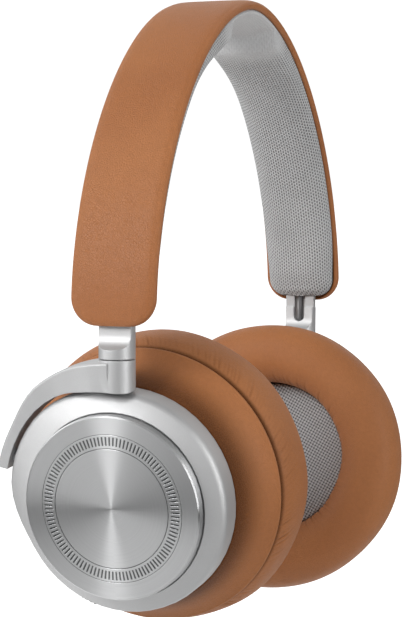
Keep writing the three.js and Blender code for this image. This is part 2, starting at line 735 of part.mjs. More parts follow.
function addSide(side) {
  const mirror = new THREE.Matrix4().makeScale(side.mirror, 1, 1);
  const slider = mirror.clone().multiply(sliderFrame(side));
  const yoke = slider.clone().multiply(swivelTurn(side.swivel));
  const hinge = yoke.clone().multiply(CUP_PLACE);
  const cup = hinge.clone().multiply(tiltTurn(side.tilt));
  const add = (name, shape, look, frame) => piece(name + "_" + side.name, shape, look, frame);

  add("slider_guide", sliderGuide(), DARK_PLASTIC, mirror);
  add("slider_arm", sliderArm(), ALUMINIUM, slider);
  add("signal_lead", signalLead(), CABLE, slider);
  add("swivel_pin", swivelPin(), STEEL, slider);
  add("swivel_clip", swivelClip(), STEEL, slider);

  add("yoke_arm", yokeArm(), ALUMINIUM, yoke);
  add("tilt_pin", tiltPin(), STEEL, hinge);
  add("tilt_clip", tiltClip(), STEEL, hinge);

  add("outer_shell", outerShell(side), ALUMINIUM, cup);
  add("hinge_block", hingeBlock(), STEEL, cup);
  add("trim_disc", trimDisc(), SPUN, cup);
  add("cup_housing", housing(side), DARK_PLASTIC, cup);
  add("baffle_plate", baffle(), DARK_PLASTIC, cup);
  SCREW_ANGLES.forEach((angle, i) => add("baffle_screw_" + (i + 1), screw(angle), STEEL, cup));
  add("ear_cushion", turned(CUSHION_PROFILE, 28), LEATHER, cup);
  add("cushion_ring", cushionRing(), DARK_PLASTIC, cup);
  add("speaker_cloth", speakerCloth(), CLOTH, cup);
  add("driver_frame", driverFrame(), DARK_PLASTIC, cup);
  add("driver_magnet", driverMagnet(), STEEL, cup);
  add("driver_diaphragm", driverDiaphragm(), GREY_PLASTIC, cup);
  add("circuit_board", circuitBoard(), BOARD_GREEN, cup);
  add("microphone", microphone(), BRASS, cup);
  return { cup, add };
}

piece("headband_cover", headbandCover(), LEATHER);
piece("headband_pad", headbandPad(), KNIT);
piece("headband_spring", headbandSpring(), STEEL);

const right = addSide(RIGHT);
right.add("usb_socket", usbSocket(), STEEL, right.cup);
right.add("audio_jack", jackSocket(), BRASS, right.cup);
right.add("power_switch", powerSwitch(), DARK_PLASTIC, right.cup);

const left = addSide(LEFT);
left.add("battery", battery(), CELL_WRAP, left.cup);
left.add("noise_button", pushButton(8, NOISE_ANGLE), GREY_PLASTIC, left.cup);
left.add("voice_button", pushButton(4.6, VOICE_ANGLE), GREY_PLASTIC, left.cup);
left.add("noise_contact", contactBlock(6, NOISE_ANGLE), BRASS, left.cup);
left.add("voice_contact", contactBlock(4, VOICE_ANGLE), BRASS, left.cup);

export default headphones;
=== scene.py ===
"""Looks of the over-ear headphones: leather, knit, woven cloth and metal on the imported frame."""

import json
import math

import bmesh
import bpy
import numpy as np
from mathutils import Matrix, Vector


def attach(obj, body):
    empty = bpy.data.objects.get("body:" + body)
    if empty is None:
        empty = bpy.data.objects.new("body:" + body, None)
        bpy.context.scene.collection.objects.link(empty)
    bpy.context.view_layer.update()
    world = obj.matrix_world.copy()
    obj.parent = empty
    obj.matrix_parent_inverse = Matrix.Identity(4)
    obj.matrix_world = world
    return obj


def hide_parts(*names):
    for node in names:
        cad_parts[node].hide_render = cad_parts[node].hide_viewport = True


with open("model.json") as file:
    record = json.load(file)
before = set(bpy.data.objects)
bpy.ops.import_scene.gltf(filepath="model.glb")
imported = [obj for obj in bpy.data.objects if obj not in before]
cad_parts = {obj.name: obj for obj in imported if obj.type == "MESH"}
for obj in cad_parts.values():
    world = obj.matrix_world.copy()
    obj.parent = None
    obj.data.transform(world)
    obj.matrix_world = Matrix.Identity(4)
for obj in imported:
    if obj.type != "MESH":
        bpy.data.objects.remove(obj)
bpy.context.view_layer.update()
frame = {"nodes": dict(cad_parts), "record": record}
RECORD = frame["record"]
NODES = frame["nodes"]
MM = 0.001
DEGREE = math.pi / 180

# ---- Camera: a long lens at the wearer's right, a little to the front ----
LENS_MM = 116.69
SENSOR_MM = 36
CAMERA_AT = (-0.61193, -0.25276, -0.05687)
CAMERA_BACK = (-0.9193, -0.3894, 0.0571)
CAMERA_RIGHT = (0.3901, -0.9208, 0)

# ---- Headband: a superellipse on straight leg ends, in millimetres over the head rest ----
SPAN = 81.6
RISE = 96.3
CROWN_Z = 5.0  # edge line over the head rest
LEG_LENGTH = 4.4
ROUNDNESS = 1.8
SOFTENED = 9.0  # reach over which the arch's curve is evened out
ARCH_TURNS = 4001
ARCH_POINTS = 1201
END_REACH = 9.0  # stretch at each end with closer sections
END_SECTIONS = 16
COVER_HALF = 13.9
COVER_CORNER = 8.5
COVER_THICK = 1.8
COVER_EDGE = -0.3  # depth of the outer face's edge
COVER_CROWNING = 0.08
COVER_SQUARENESS = 9
END_THIN = 0.45  # share of the thickness left at the very ends
BEAD_IN = 1.5  # shallow line pressed beside the edge
BEAD_REACH = 0.5
BEAD_DEPTH = 0.12
RIM_WIDTH = 1.6
RIM_DEPTH = -1.71
RIM_END_DEPTH = -0.95  # shallower at the ends, to clear the sliders
INNER_FACE = -0.8  # inside of the leather skin
RIM_NARROW = 6.5  # half width below which the rim is at its shallowest
RIM_WIDE = 8.5
PAD_HALF = 12.0
PAD_CORNER = 6
PAD_BACK = -1.1
PAD_SIDE = -2.3
PAD_DEPTH = -9.2
PAD_END_DEPTH = -7.2
RECESS_DEPTH = -5.0
RECESS_HALF = 19
RECESS_STEP = 5
SHOULDER_EXTRA = 1.0
SHOULDER_FROM = 26
SHOULDER_TO = 62
PAD_ROUNDING = 0.588  # lower is boxier
PAD_BOXINESS = 0.4
PAD_END_REACH = 3.2
PAD_END_DROP = 0.42
PAD_SWELL = 0.8  # how far the stuffed sides stand out over the cover's rim
SWELL_AT = 0.97  # share of the half width
SWELL_WIDTH = 0.14
SWELL_FROM = 2
SWELL_TO = 26

# ---- Slider: an arc that enters the open ends of the band ----
ARC_RADIUS = 110.0
ARC_X = 78.85  # the arc's distance from the middle where it is vertical
ARC_Z = -97.7
MOUTH_FROM = -3.0
MOUTH_TO = 42.0
MOUTH_HALF = 5.6
MOUTH_INNER = -2.3
MOUTH_OUTER = 1.75

# ---- Ear cushion: [radius, depth] on the cup's axis, in millimetres ----
DISC_DEPTH = 43.5
SKIRT = [(32.7, 28.6), (34.2, 28.3), (35.3, 25.8), (37.1, 22.0), (39.6, 18.2), (41.9, 15.9)]
GROOVE_POINT = 4  # the seam point at the bottom of the groove
SEAM = [(42.9, 15.2), (43.1, 14.6), (42.5, 14.1), (40.9, 13.9), (40.6, 13.6), (41.3, 13.3), (42.5, 12.8)]
TORUS = [
    (43.6, 11.4), (45.0, 8.4), (45.75, 4.0), (45.8, 0.0), (45.3, -3.4), (43.9, -6.2), (41.6, -8.4),
    (38.6, -9.6), (35.4, -9.9), (32.2, -9.6), (29.4, -8.3), (27.3, -6.2), (26.1, -3.4), (25.7, 0.2),
    (25.9, 3.0),
]
HIDDEN_BACK = [(26.7, 4.7), (31.0, 4.75), (35.7, 4.8), (36.3, 12.0), (34.4, 22.0), (32.7, 28.0)]
SKIRT_STEPS = 5
SEAM_STEPS = 4
TORUS_STEPS = 6
CUSHION_TURNS = 960
CREASE_DEPTH = 0.25
STUFFING_SWELL = 0.14
CLOTH_RADIUS = 25.3
CLOTH_DEPTH = 3.0
CLOTH_THICK = 0.7
CLOTH_DISH = 0.9
CLOTH_RINGS = 25
CLOTH_TURNS = 96
WEAVE_TURN = 26.7 * DEGREE


# ---- Node graphs ----
class Graph:
    """A material's nodes, with short calls to add and join them."""

    def __init__(self, name):
        self.material = bpy.data.materials.new(name)
        self.material.use_nodes = True
        self.tree = self.material.node_tree
        self.shader = self.tree.nodes["Principled BSDF"]

    def add(self, kind, out=0, settings=None, **inputs):
        node = self.tree.nodes.new("ShaderNode" + kind)
        for key, value in (settings or {}).items():
            setattr(node, key, value)
        for key, value in inputs.items():
            socket = node.inputs[int(key[1:])] if key[0] == "_" else node.inputs[key]
            self.feed(socket, value)
        return node.outputs[out]

    def feed(self, socket, value):
        if isinstance(value, bpy.types.NodeSocket):
            self.tree.links.new(value, socket)
        else:
            socket.default_value = value

    def set(self, **inputs):
        for key, value in inputs.items():
            self.feed(self.shader.inputs[key.replace("_", " ")], value)

    def math(self, operation, a, b=0.0, c=0.0):
        return self.add("Math", settings={"operation": operation}, _0=a, _1=b, _2=c)

    def vector(self, operation, a, b=(0, 0, 0), out=0):
        return self.add("VectorMath", out, {"operation": operation}, _0=a, _1=b)

    def place(self):
        return self.add("TexCoord", out=3)

    def noise(self, scale, detail=3.0, where=None, rough=0.5):
        where = self.place() if where is None else where
        return self.add("TexNoise", Vector=where, Scale=scale, Detail=detail, Roughness=rough)

    def cells(self, scale, feature="F1", where=None):
        where = self.place() if where is None else where
        return self.add("TexVoronoi", settings={"feature": feature}, Vector=where, Scale=scale)

    def ramp(self, value, stops):
        node = self.tree.nodes.new("ShaderNodeValToRGB")
        elements = node.color_ramp.elements
        while len(elements) < len(stops):
            elements.new(0.5)
        for element, (position, color) in zip(elements, stops):
            element.position = position
            element.color = color if len(color) == 4 else (*color, 1)
        self.tree.links.new(value, node.inputs[0])
        return node.outputs[0]

    def remap(self, value, low, high, to_low=0.0, to_high=1.0, smooth=True):
        kind = "SMOOTHSTEP" if smooth else "LINEAR"
        return self.add(
            "MapRange", settings={"interpolation_type": kind},
            _0=value, _1=low, _2=high, _3=to_low, _4=to_high,
        )

    def mix(self, share, a, b, blend="MIX"):
        node = self.tree.nodes.new("ShaderNodeMix")
        node.data_type = "RGBA"
        node.blend_type = blend
        for socket, value in ((0, share), (6, a), (7, b)):
            if not isinstance(value, bpy.types.NodeSocket) and socket and len(value) == 3:
                value = (*value, 1)
            self.feed(node.inputs[socket], value)
        return node.outputs[2]

    def bump(self, height, distance, strength=1.0, normal=None):
        node = self.tree.nodes.new("ShaderNodeBump")
        node.inputs["Strength"].default_value = strength
        node.inputs["Distance"].default_value = distance
        self.tree.links.new(height, node.inputs["Height"])
        if normal is not None:
            self.tree.links.new(normal, node.inputs["Normal"])
        return node.outputs[0]

    def soft_edges(self, radius):
        node = self.tree.nodes.new("ShaderNodeBevel")
        node.samples = 6
        node.inputs["Radius"].default_value = radius
        return node.outputs[0]


def attribute(graph, name):
    """Reads a value stored on a mesh's points."""
    return graph.add("Attribute", out=2, settings={"attribute_name": name})


# ---- Materials ----
LEATHER_LIGHT = (0.49, 0.182, 0.056)
LEATHER_DARK = (0.43, 0.150, 0.043)
# colour of the painted shade mixed into the leather
PAINTED_SHADE_TONE = (0.055, 0.017, 0.006)


def leather(name, painted_shade_amount, grain):
    """Fine-grained tan leather, with painted shade in its creases and wherever else the mesh stores
    painted shade.
    """
    g = Graph(name)
    patches = g.noise(28, 4)
    fibres = g.noise(900, 3)
    tone = g.mix(g.remap(patches, 0.3, 0.7), LEATHER_DARK, LEATHER_LIGHT)
    tone = g.mix(0.35, tone, g.ramp(fibres, [(0.35, (0.80,) * 3), (0.65, (1.0,) * 3)]), "MULTIPLY")
    # painted shade read from the mesh pulls the tone towards a near-black brown
    painted_shade = attribute(g, "painted_shade")
    shade = g.math("MULTIPLY", painted_shade, painted_shade_amount)
    tone = g.mix(shade, tone, PAINTED_SHADE_TONE)
    wells = g.cells(1500, "DISTANCE_TO_EDGE")
    pores = g.remap(wells, 0.0, 0.12, 0.0, 1.0)
    tone = g.mix(g.math("MULTIPLY_ADD", pores, -0.22, 0.22), tone, LEATHER_DARK)
    height = g.math("MULTIPLY_ADD", pores, 0.6, g.math("MULTIPLY", g.noise(420, 4), 0.9))
    normal = g.bump(height, grain, 0.75)
    rough = g.remap(patches, 0.25, 0.75, 0.48, 0.60)
    g.set(Base_Color=tone, Roughness=rough, Normal=normal, IOR=1.5)
    # the painted shade also dulls the reflection
    g.set(Specular_IOR_Level=g.math("MULTIPLY_ADD", painted_shade, -0.45, 0.5))
    g.set(Sheen_Weight=0.06, Sheen_Roughness=0.45, Sheen_Tint=(1.0, 0.9, 0.8, 1))
    return g.material


KNIT_ACROSS = 0.9
KNIT_ALONG = 1.35
KNIT_STEP = 0.45  # share of a stitch between neighbouring columns
KNIT_OVAL = 0.58


def knit():
    """Spacer knit: columns of small dark holes, each column nearly half a stitch on from the last."""
    g = Graph("knit_fabric")
    uv = g.add("TexCoord", out=2)
    split = g.tree.nodes.new("ShaderNodeSeparateXYZ")
    g.tree.links.new(uv, split.inputs[0])
    wander = g.math("MULTIPLY", g.math("SUBTRACT", g.noise(160, 2), 0.5), 0.25)
    across = g.math("DIVIDE", g.math("ADD", split.outputs[0], wander), KNIT_ACROSS)
    column = g.math("FLOOR", across)
    odd = g.math("FLOORED_MODULO", column, 2.0)
    shift = g.math("MULTIPLY", odd, KNIT_STEP)
    along = g.math("ADD", g.math("DIVIDE", split.outputs[1], KNIT_ALONG), shift)
    x = g.math("MULTIPLY", g.math("SUBTRACT", g.math("FRACT", across), 0.5), KNIT_ACROSS)
    y = g.math("MULTIPLY", g.math("SUBTRACT", g.math("FRACT", along), 0.5), KNIT_ALONG * KNIT_OVAL)
    reach = g.math("SQRT", g.math("ADD", g.math("MULTIPLY", x, x), g.math("MULTIPLY", y, y)))
    crown = g.math("ABSOLUTE", g.math("SUBTRACT", split.outputs[1], ARCH_LENGTH / 2))
    shown = g.remap(crown, RECESS_HALF + RECESS_STEP, RECESS_HALF + 3 * RECESS_STEP, 0.12, 1.0)
    hole = g.math("MULTIPLY", g.remap(reach, 0.12, 0.38, 1.0, 0.0), shown)
    rib = g.math("ABSOLUTE", g.math("MULTIPLY", x, 2.0 / KNIT_ACROSS))
    yarn = g.ramp(g.noise(2600, 2), [(0.3, (0.86,) * 3), (0.7, (1.0,) * 3)])
    tone = g.mix(g.remap(g.noise(45, 3), 0.3, 0.7), (0.60, 0.605, 0.61), (0.67, 0.675, 0.68))
    tone = g.mix(1.0, tone, yarn, "MULTIPLY")
    tone = g.mix(g.math("MULTIPLY", hole, 0.85), tone, (0.105, 0.108, 0.112))
    height = g.math("SUBTRACT", g.math("MULTIPLY", rib, 0.25), hole)
    g.set(Base_Color=tone, Roughness=0.92, Normal=g.bump(height, 0.00028, 0.8), IOR=1.35)
    g.set(Sheen_Weight=0.25, Sheen_Roughness=0.6)
    return g.material


WEAVE_PITCH = 0.97
WEAVE_START = 100  # where the grid of threads begins


def weave():
    """Plain woven acoustic cloth: threads over and under in a square grid."""
    g = Graph("acoustic_weave")
    uv = g.add("TexCoord", out=2)
    split = g.tree.nodes.new("ShaderNodeSeparateXYZ")
    g.tree.links.new(uv, split.inputs[0])
    across = g.math("DIVIDE", split.outputs[0], WEAVE_PITCH)
    along = g.math("DIVIDE", split.outputs[1], WEAVE_PITCH)
    cell = g.math("ADD", g.math("FLOOR", across), g.math("FLOOR", along))
    over = g.math("FLOORED_MODULO", cell, 2.0)

    def thread(position, crossing):
        near = g.math("ABSOLUTE", g.math("SUBTRACT", g.math("FRACT", position), 0.5))
        round_top = g.math("SQRT", g.math("SUBTRACT", 0.2601, g.math("MULTIPLY", near, near)))
        dip = g.math("ABSOLUTE", g.math("SUBTRACT", g.math("FRACT", crossing), 0.5))
        return g.math("SUBTRACT", round_top, g.math("MULTIPLY", dip, 0.55))

    up = thread(across, along)
    side = thread(along, across)
    height = g.math(
        "ADD", g.math("MULTIPLY", up, over), g.math("MULTIPLY", side, g.math("SUBTRACT", 1.0, over)),
    )
    shade = g.remap(height, 0.02, 0.40)
    tint = g.mix(over, (0.93, 0.93, 0.94), (1, 1, 1))
    tone = g.mix(shade, (0.07, 0.071, 0.073), (0.60, 0.605, 0.61))
    tone = g.mix(1.0, tone, tint, "MULTIPLY")
    tone = g.mix(0.5, tone, g.ramp(g.noise(2400, 2), [(0.3, (0.7,) * 3), (0.7, (1,) * 3)]), "MULTIPLY")
    g.set(Base_Color=tone, Roughness=0.85, Normal=g.bump(height, 0.0004, 0.8))
    return g.material


def satin_metal():
    """Bead-blasted aluminium with a fine even speckle."""
    g = Graph("satin_aluminium")
    speckle = g.noise(3200, 2)
    cloud = g.noise(60, 3)
    tone = g.mix(g.remap(cloud, 0.3, 0.7), (0.60, 0.602, 0.605), (0.64, 0.642, 0.645))
    rough = g.remap(speckle, 0.3, 0.7, 0.48, 0.60)
    normal = g.bump(speckle, 0.000012, 0.6, g.soft_edges(0.00045))
    g.set(Base_Color=tone, Roughness=rough, Normal=normal, Metallic=0.72)
    return g.material


def around(g, centre, axis):
    """Distance from an axis, and the direction round it, at each point."""
    offset = g.vector("SUBTRACT", g.place(), centre)
    ring = g.vector("CROSS_PRODUCT", offset, axis)
    radius = g.vector("LENGTH", ring, out=1)
    return offset, ring, radius


MARKS = 110
MARK_FROM = 19.2
MARK_TO = 21.9
INNER_GROOVE = 18.3
OUTER_GROOVE = 22.6


def spun_metal(name, centre, axis, up):
    """A lathe-turned face: fine rings, a band of short radial marks and two thin grooves."""
    g = Graph(name)
    offset, ring, radius = around(g, centre, axis)
    front = Vector(up).cross(Vector(axis))
    x = g.vector("DOT_PRODUCT", offset, tuple(front), out=1)
    y = g.vector("DOT_PRODUCT", offset, tuple(up), out=1)
    turn = g.math("DIVIDE", g.math("ARCTAN2", x, y), 2 * math.pi)
    millimetres = g.math("MULTIPLY", radius, 1000.0)
    fine = g.math("MULTIPLY", millimetres, 9.0)
    lines = g.add("CombineXYZ", _0=fine, _1=g.math("MULTIPLY", turn, 0.6))
    rings = g.noise(1.0, 4, lines, 0.7)
    place = g.math("FRACT", g.math("MULTIPLY", turn, MARKS))
    mark = g.math("ABSOLUTE", g.math("SUBTRACT", place, 0.5))
    narrow = g.remap(mark, 0.18, 0.26, 1.0, 0.0)
    past_start = g.remap(millimetres, MARK_FROM - 0.1, MARK_FROM + 0.1)
    before_end = g.remap(millimetres, MARK_TO - 0.1, MARK_TO + 0.1, 1.0, 0.0)
    inside = g.math("MULTIPLY", past_start, before_end)
    ticks = g.math("MULTIPLY", narrow, inside)

    def groove(at, half):
        return g.remap(g.math("ABSOLUTE", g.math("SUBTRACT", millimetres, at)), half * 0.4, half, 1.0, 0.0)

    grooves = g.math("MAXIMUM", groove(INNER_GROOVE, 0.20), groove(OUTER_GROOVE, 0.13))
    cut = g.math("MAXIMUM", ticks, grooves)
    tone = g.ramp(rings, [(0.2, (0.62, 0.625, 0.63)), (0.8, (0.76, 0.765, 0.77))])
    tone = g.mix(g.math("MULTIPLY", cut, 0.88), tone, (0.05, 0.052, 0.055))
    rough = g.math("ADD", g.remap(rings, 0.2, 0.8, 0.28, 0.36), g.math("MULTIPLY", ticks, 0.2))
    normal = g.bump(g.math("MULTIPLY_ADD", cut, -1.0, g.math("MULTIPLY", rings, 0.03)), 0.0001, 0.5)
    tangent = g.add("VectorTransform", settings={
        "vector_type": "VECTOR", "convert_from": "OBJECT", "convert_to": "WORLD"}, _0=ring)
    g.set(Base_Color=tone, Roughness=rough, Normal=normal, Metallic=1.0)
    g.set(Anisotropic=0.92, Anisotropic_Rotation=0.25, Tangent=tangent)
    return g.material


def steel():
    """Bright steel with fine drawn lines."""
    g = Graph("bright_steel")
    streak = g.add("Mapping", Vector=g.place(), Scale=(4000, 4000, 300))
    lines = g.noise(1.0, 3, streak)
    tone = g.ramp(lines, [(0.3, (0.42, 0.43, 0.45)), (0.7, (0.58, 0.59, 0.61))])
    normal = g.bump(lines, 0.00001, 0.5, g.soft_edges(0.00025))
    g.set(Base_Color=tone, Roughness=g.remap(lines, 0.3, 0.7, 0.22, 0.36), Metallic=1.0, Normal=normal)
    return g.material


def plastic(name, low, high, rough):
    """Moulded plastic with a fine spark-eroded texture."""
    g = Graph(name)
    texture = g.noise(2600, 3)
    tone = g.mix(g.remap(g.noise(90, 3), 0.3, 0.7), low, high)
    normal = g.bump(texture, 0.00002, 0.6, g.soft_edges(0.0003))
    g.set(Base_Color=tone, Roughness=g.remap(texture, 0.3, 0.7, rough - 0.06, rough + 0.08))
    g.set(Normal=normal, IOR=1.48)
    return g.material


def brass():
    """Brass with faint stains."""
    g = Graph("plain_brass")
    stain = g.noise(260, 4)
    tone = g.ramp(stain, [(0.3, (0.50, 0.36, 0.14)), (0.7, (0.72, 0.56, 0.28))])
    normal = g.bump(g.noise(1800, 2), 0.00001, 0.5, g.soft_edges(0.0002))
    g.set(Base_Color=tone, Roughness=g.remap(stain, 0.3, 0.7, 0.40, 0.24), Metallic=1.0, Normal=normal)
    return g.material


def board_green():
    """Solder mask with copper tracks under it."""
    g = Graph("board_green")
    tracks = g.add("TexBrick", out=1, Vector=g.place(), Scale=600, **{"Mortar Size": 0.05})
    tone = g.mix(tracks, (0.012, 0.10, 0.045), (0.03, 0.20, 0.09))
    normal = g.bump(tracks, 0.00003, 0.5)
    g.set(Base_Color=tone, Roughness=g.remap(g.noise(300), 0.3, 0.7, 0.3, 0.45), Normal=normal)
    return g.material


# ---- Mesh helpers ----
def finished(name, points, faces, look, body, uv=None, painted_shade=None):
    """Makes a smooth mesh piece, in metres, that rides on a body."""
    mesh = bpy.data.meshes.new(name)
    mesh.from_pydata([tuple(p) for p in points], [], [tuple(f) for f in faces])
    mesh.polygons.foreach_set("use_smooth", [True] * len(mesh.polygons))
    mesh.materials.append(look)
    if uv is not None:
        layer = mesh.uv_layers.new(name="millimetres")
        corners = np.array([uv[loop.vertex_index] for loop in mesh.loops], np.float32)
        layer.data.foreach_set("uv", corners.ravel())
    # painted shade stored on the points, zero where none is given
    values = mesh.attributes.new("painted_shade", "FLOAT", "POINT")
    values.data.foreach_set("value", np.zeros(len(points)) if painted_shade is None else painted_shade)
    mesh.update()
    piece = bpy.data.objects.new(name, mesh)
    bpy.context.scene.collection.objects.link(piece)
    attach(piece, body)
    return piece


def smooth_step(value, low, high):
    t = np.clip((value - low) / (high - low), 0, 1)
    return t * t * (3 - 2 * t)


def ring_faces(rings, count, closed):
    """Quads between rings of points, and round the last one to the first where closed."""
    faces = []
    for ring in range(rings if closed else rings - 1):
        here = ring * count
        there = ((ring + 1) % rings) * count
        for i in range(count):
            j = (i + 1) % count
            faces.append((here + i, here + j, there + j, there + i))
    return faces


def through(controls, steps):
    """A smooth line through control points, by Catmull-Rom."""
    p = np.array(controls, float)
    p = np.vstack([2 * p[0] - p[1], p, 2 * p[-1] - p[-2]])
    line = []
    for i in range(1, len(p) - 2):
        for t in np.arange(steps) / steps:
            a = 2 * p[i]
            b = (p[i + 1] - p[i - 1]) * t
            c = (2 * p[i - 1] - 5 * p[i] + 4 * p[i + 1] - p[i + 2]) * t**2
            d = (3 * p[i] - p[i - 1] - 3 * p[i + 1] + p[i + 2]) * t**3
            line.append(0.5 * (a + b + c + d))
    line.append(p[-2])
    return np.array(line)


# ---- The arch of the band ----
def arch_line():
    """Points along the arch from the right leg's end to the left one's, evenly spaced."""
    turn = np.linspace(-math.pi / 2, math.pi / 2, ARCH_TURNS)
    x = SPAN * np.sign(turn) * np.abs(np.sin(turn)) ** (2 / ROUNDNESS)
    z = CROWN_Z - RISE * (1 - np.clip(np.cos(turn), 0, 1) ** (2 / ROUNDNESS))
    foot = CROWN_Z - RISE - LEG_LENGTH
    x = np.concatenate([[-SPAN], x, [SPAN]])
    z = np.concatenate([[foot], z, [foot]])
    length = np.concatenate([[0], np.cumsum(np.hypot(np.diff(x), np.diff(z)))])
    even = np.linspace(0, length[-1], ARCH_POINTS)
    reach = int(SOFTENED / (even[1] - even[0]))
    weights = np.hanning(2 * reach + 1)
    weights = weights / weights.sum()

    def softened(values):
        values = np.interp(even, length, values)
        before = 2 * values[0] - values[reach:0:-1]
        after = 2 * values[-1] - values[-2 : -reach - 2 : -1]
        return np.convolve(np.concatenate([before, values, after]), weights, "valid")

    return even, softened(x), softened(z)


ARCH_AT, ARCH_X, ARCH_Z = arch_line()
ARCH_LENGTH = ARCH_AT[-1]


def on_arch(along, across, out):
    """Points at a distance along the arch, across it and out from its edge line."""
    step = 0.4
    before = np.clip(along - step, 0, ARCH_LENGTH)
    after = np.clip(along + step, 0, ARCH_LENGTH)
    tx = np.interp(after, ARCH_AT, ARCH_X) - np.interp(before, ARCH_AT, ARCH_X)
    tz = np.interp(after, ARCH_AT, ARCH_Z) - np.interp(before, ARCH_AT, ARCH_Z)
    size = np.hypot(tx, tz)
    x = np.interp(along, ARCH_AT, ARCH_X) - tz / size * out
    z = np.interp(along, ARCH_AT, ARCH_Z) + tx / size * out
    return np.stack([x, across, z], -1) * MM


def cornered(distance, half, corner):
    """Half width near an end with rounded corners."""
    short = corner - np.clip(distance, 0, corner)
    return half - corner + np.sqrt(corner * corner - short * short)


def stations(start, gap):
    """Distances along the arch: close together at its ends, even between."""
    near = start + END_REACH * (1 - np.cos(np.linspace(0, math.pi / 2, END_SECTIONS)))
    middle = np.linspace(near[-1], ARCH_LENGTH - near[-1], int((ARCH_LENGTH - 2 * near[-1]) / gap))
    return np.concatenate([near[:-1], middle, ARCH_LENGTH - near[:-1][::-1]])


def skinned(name, rows, look, node):
    """Skins rows of [along, across, out] sections and closes both ends with fans."""
    count = len(rows[0])
    flat = np.array(rows).reshape(-1, 3)
    points = on_arch(flat[:, 0], flat[:, 1], flat[:, 2])
    faces = ring_faces(len(rows), count, False)
    last = (len(rows) - 1) * count
    tips = [points[:count].mean(0), points[last:].mean(0)]
    first_tip = len(points)
    for i in range(count):
        j = (i + 1) % count
        faces.append((first_tip, j, i))
        faces.append((first_tip + 1, last + i, last + j))
    section = np.array(rows)
    perimeter = np.zeros(section.shape[:2])
    steps = np.hypot(np.diff(section[:, :, 1], axis=1), np.diff(section[:, :, 2], axis=1))
    perimeter[:, 1:] = np.cumsum(steps, 1)
    middle = perimeter[:, count // 2][:, None]
    uv = np.stack([perimeter - middle, section[:, :, 0]], -1).reshape(-1, 2)
    uv = np.vstack([uv, uv[:1], uv[-1:]])
    points = np.vstack([points, tips])
    piece = finished(name, points, faces, look, "band", uv)
    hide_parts(node)
    return piece


def cover_section(along):
    """The leather skin: a crowned outer face, a rolled edge and a rim turned under."""
    distance = min(along, ARCH_LENGTH - along)
    half = cornered(distance, COVER_HALF, COVER_CORNER)
    full = END_THIN + (1 - END_THIN) * math.sqrt(smooth_step(distance, -0.2, 2.0))
    q = np.sin(np.linspace(-1, 1, 41) * math.pi / 2)
    dome = np.sqrt(1 - np.abs(q) ** COVER_SQUARENESS)
    top = (COVER_EDGE + COVER_THICK * dome - COVER_CROWNING * q * q) * full
    bead = BEAD_DEPTH * np.exp(-(((1 - np.abs(q)) * half - BEAD_IN) / BEAD_REACH) ** 2) * full
    outer = [(along, half * a, b - c) for a, b, c in zip(q, top, bead)]
    rim = RIM_END_DEPTH + (RIM_DEPTH - RIM_END_DEPTH) * smooth_step(half, RIM_NARROW, RIM_WIDE)
    bend = INNER_FACE + 0.6 * (rim - INNER_FACE)
    turned = [(0.15, INNER_FACE), (0.55, bend), (1.0, rim), (RIM_WIDTH, rim), (RIM_WIDTH, INNER_FACE)]
    right = [(along, half - a, b) for a, b in turned]
    left = [(along, -half + a, b) for a, b in reversed(turned)]
    return outer + right + left


def pad_depth(along):
    """Depth of the pad's middle, and how boxy it is there: most so beside the thin crown."""
    crown = abs(along - ARCH_LENGTH / 2)
    distance = min(along, ARCH_LENGTH - along)
    raised = smooth_step(crown, RECESS_HALF, RECESS_HALF + RECESS_STEP)
    boxy = raised * (1 - smooth_step(crown, SHOULDER_FROM, SHOULDER_TO))
    ends = PAD_END_DEPTH + (PAD_DEPTH - PAD_END_DEPTH) * smooth_step(distance, 1, 12)
    depth = RECESS_DEPTH + (ends - SHOULDER_EXTRA * boxy - RECESS_DEPTH) * raised
    return depth, boxy


def pad_section(along):
    """The stuffed knit: a dome whose sides swell out, fuller beside its thin middle."""
    distance = min(along, ARCH_LENGTH - along) - RIM_WIDTH
    half = cornered(distance, PAD_HALF, PAD_CORNER)
    depth, boxy = pad_depth(along)
    end = 1 - smooth_step(distance, 0, PAD_END_REACH)
    turn = np.linspace(-1, 1, 49) * math.pi / 2
    q = np.sin(turn)
    share = np.clip(1 - np.abs(q) ** 3, 0, 1) ** (PAD_ROUNDING - PAD_BOXINESS * boxy)
    dome = PAD_SIDE + (depth - PAD_SIDE) * share * (1 - PAD_END_DROP * end**2)
    swell = PAD_SWELL * np.exp(-(((np.abs(q) - SWELL_AT) / SWELL_WIDTH) ** 2))
    swell = swell * smooth_step(distance, SWELL_FROM, SWELL_TO)
    rows = [(along, half * a + np.sign(a) * c, b) for a, b, c in zip(q, dome, swell)]
    under = half - 0.2
    back = [(along, under, PAD_BACK), (along, 0.0, PAD_BACK), (along, -under, PAD_BACK)]
    return rows + back


def mouth_cutter(side):
    """A closed bar along the slider's arc, a little larger than the slider."""
    sign = -1 if side == "right" else 1
    points = []
    corners = [
        (MOUTH_HALF, MOUTH_INNER), (MOUTH_HALF, MOUTH_OUTER),
        (-MOUTH_HALF, MOUTH_OUTER), (-MOUTH_HALF, MOUTH_INNER),
    ]
    turns = np.linspace(MOUTH_FROM, MOUTH_TO, 10) / ARC_RADIUS
    for turn in turns:
        for across, out in corners:
            radius = ARC_RADIUS + out
            x = ARC_RADIUS - ARC_X - radius * math.cos(turn)
            points.append((-sign * x * MM, across * MM, (ARC_Z + radius * math.sin(turn)) * MM))
    faces = ring_faces(len(turns), 4, False)
    last = len(points) - 4
    faces += [(3, 2, 1, 0), (last, last + 1, last + 2, last + 3)]
    mesh = bpy.data.meshes.new("mouth_" + side)
    mesh.from_pydata(points, [], faces)
    outward(mesh)
    cutter = bpy.data.objects.new("mouth_" + side, mesh)
    bpy.context.scene.collection.objects.link(cutter)
    return cutter


